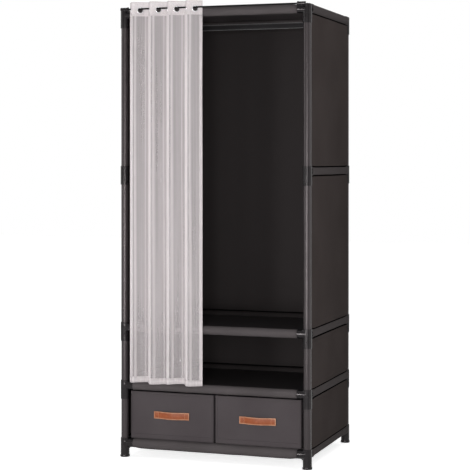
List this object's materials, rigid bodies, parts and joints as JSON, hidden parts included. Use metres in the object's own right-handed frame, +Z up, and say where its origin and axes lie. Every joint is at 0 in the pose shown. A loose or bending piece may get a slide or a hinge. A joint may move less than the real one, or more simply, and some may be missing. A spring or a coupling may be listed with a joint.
{
  "type": "curtain wardrobe",
  "caption": "Tube-framed cloth wardrobe with a hanging rod, an open shelf, fabric drawers with leather pulls and an eyelet curtain on a rod.",
  "frame": {"origin": "on the floor, under the middle of the whole object's footprint box", "axes": "+Z up, the open front with the curtain towards -Y, +X to the viewer's right"},
  "size_m": [0.7572, 0.6036, 1.718],
  "materials": {
    "connector_plastic": "glossy black moulding",
    "tube_steel": "black satin powder coat",
    "rod_steel": "black satin powder coat",
    "cover_cloth": "dark grey non-woven cloth",
    "deck_cloth": "dark grey non-woven cloth",
    "curtain_cloth": "thin white voile",
    "eyelet_metal": "dark nickel",
    "drawer_cloth": "grey linen-look cloth over board",
    "strap_leather": "tan leather with stitched ends"
  },
  "bodies": {
    "frame": {"bottom_connector_front_left": "connector_plastic", "bottom_connector_front_right": "connector_plastic", "bottom_connector_rear_right": "connector_plastic", "bottom_connector_rear_left": "connector_plastic", "lower_connector_front_left": "connector_plastic", "lower_connector_front_right": "connector_plastic", "lower_connector_rear_right": "connector_plastic", "lower_connector_rear_left": "connector_plastic", "upper_connector_front_left": "connector_plastic", "upper_connector_front_right": "connector_plastic", "upper_connector_rear_right": "connector_plastic", "upper_connector_rear_left": "connector_plastic", "middle_connector_front_left": "connector_plastic", "middle_connector_front_right": "connector_plastic", "middle_connector_rear_right": "connector_plastic", "middle_connector_rear_left": "connector_plastic", "top_connector_front_left": "connector_plastic", "top_connector_front_right": "connector_plastic", "top_connector_rear_right": "connector_plastic", "top_connector_rear_left": "connector_plastic", "post_front_left": "tube_steel", "post_front_right": "tube_steel", "post_rear_right": "tube_steel", "post_rear_left": "tube_steel", "bottom_rail_left": "tube_steel", "bottom_rail_right": "tube_steel", "bottom_rail_front": "tube_steel", "bottom_rail_rear": "tube_steel", "lower_rail_left": "tube_steel", "lower_rail_right": "tube_steel", "lower_rail_front": "tube_steel", "lower_rail_rear": "tube_steel", "upper_rail_left": "tube_steel", "upper_rail_right": "tube_steel", "upper_rail_front": "tube_steel", "upper_rail_rear": "tube_steel", "middle_rail_left": "tube_steel", "middle_rail_right": "tube_steel", "top_rail_left": "tube_steel", "top_rail_right": "tube_steel", "top_rail_front": "tube_steel", "top_rail_rear": "tube_steel", "side_cover_left": "cover_cloth", "side_cover_right": "cover_cloth", "back_cover": "cover_cloth", "top_cover": "cover_cloth", "lower_shelf": "deck_cloth", "upper_shelf": "deck_cloth", "base_deck": "deck_cloth", "rod_bracket_left": "connector_plastic", "rod_bracket_right": "connector_plastic", "hanging_rod": "rod_steel", "curtain_rod": "rod_steel"},
    "drawer_left": {"drawer_left": "drawer_cloth", "drawer_handle_left": "strap_leather"},
    "drawer_right": {"drawer_right": "drawer_cloth", "drawer_handle_right": "strap_leather"},
    "curtain": {"curtain": "curtain_cloth"},
    "curtain_lead": {"lead_eyelet": "eyelet_metal"}
  },
  "joints": [
    {"name": "drawer_left_slide", "type": "slide", "parent": "frame", "child": "drawer_left", "axis": [0, -1, 0], "range_m": [0, 0.35]},
    {"name": "drawer_right_slide", "type": "slide", "parent": "frame", "child": "drawer_right", "axis": [0, -1, 0], "range_m": [0, 0.35]},
    {"name": "curtain_slide", "type": "slide", "parent": "frame", "child": "curtain", "axis": [1, 0, 0], "range_m": [0, 0.37]},
    {"name": "curtain_gather", "type": "slide", "parent": "curtain", "child": "curtain_lead", "axis": [1, 0, 0], "range_m": [-0.15, 0], "deforming": ["curtain"]}
  ]
}
